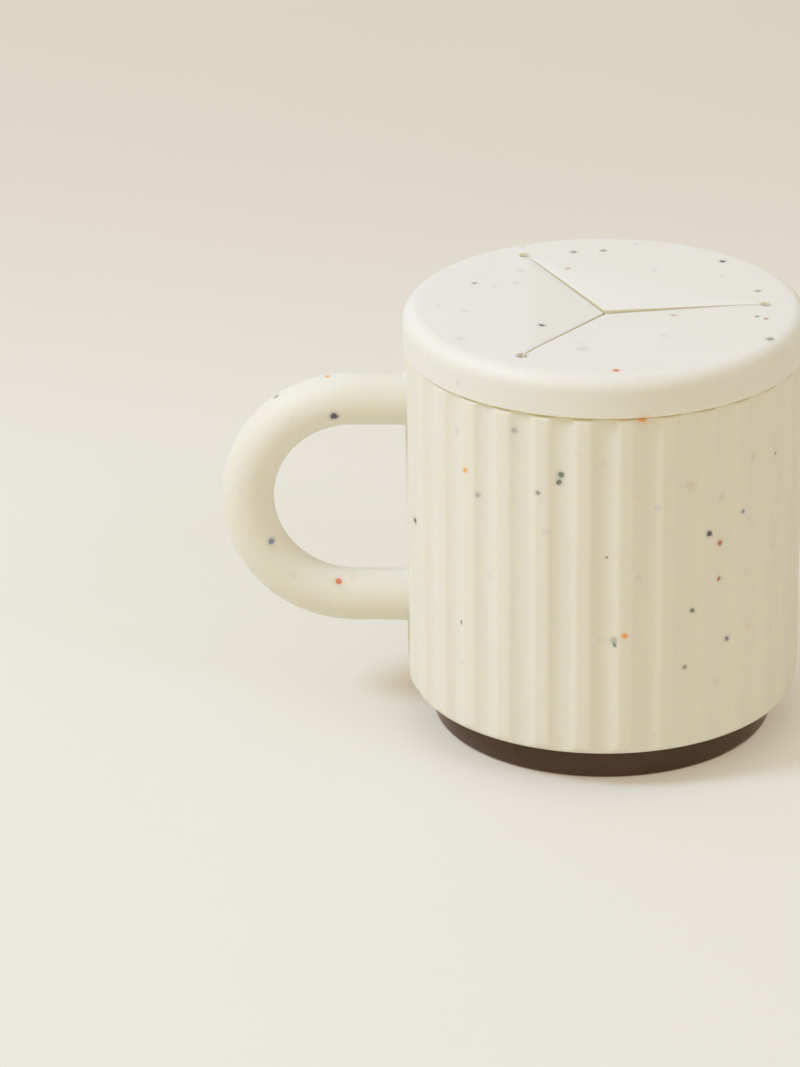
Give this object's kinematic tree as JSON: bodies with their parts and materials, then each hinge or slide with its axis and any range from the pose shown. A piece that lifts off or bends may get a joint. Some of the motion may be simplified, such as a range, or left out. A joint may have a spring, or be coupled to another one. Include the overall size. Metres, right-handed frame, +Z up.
{
  "type": "toddler snack cup",
  "caption": "Fluted silicone snack cup with a D handle, a soft foot and a lift-off lid whose slit flaps let a small hand in and keep the snacks from spilling.",
  "frame": {"origin": "the middle of the foot's flat underside, on the cup's axis", "axes": "+Z up along the cup's axis, -X towards the handle, +Y to the back of the cup as the picture sees it"},
  "size_m": [0.1171, 0.08, 0.0878],
  "materials": {
    "cup_silicone": "matte cream silicone with sparse coloured specks",
    "lid_silicone": "matte cream silicone with sparse coloured specks",
    "foot_silicone": "matte dark brown silicone"
  },
  "bodies": {
    "cup": {"cup_body": "cup_silicone", "handle": "cup_silicone", "base_foot": "foot_silicone"},
    "lid": {"lid_rim": "lid_silicone"},
    "flap_back": {"flap_back": "lid_silicone"},
    "flap_left": {"flap_left": "lid_silicone"},
    "flap_front": {"flap_front": "lid_silicone"}
  },
  "joints": [
    {"name": "lid_lift", "type": "slide", "parent": "cup", "child": "lid", "axis": [0, 0, 1], "range_m": [0, 0.05]},
    {"name": "flap_back_bend", "type": "hinge", "parent": "lid", "child": "flap_back", "pos_m": [0.008, 0.01386, 0.08775], "axis": [0.866, -0.5, 0], "range_deg": [-45, 60], "stiffness_Nm_per_rad": 0.01},
    {"name": "flap_left_bend", "type": "hinge", "parent": "lid", "child": "flap_left", "pos_m": [-0.016, 0, 0.08775], "axis": [0, 1, 0], "range_deg": [-45, 60], "stiffness_Nm_per_rad": 0.01},
    {"name": "flap_front_bend", "type": "hinge", "parent": "lid", "child": "flap_front", "pos_m": [0.008, -0.01386, 0.08775], "axis": [-0.866, -0.5, 0], "range_deg": [-45, 60], "stiffness_Nm_per_rad": 0.01}
  ]
}
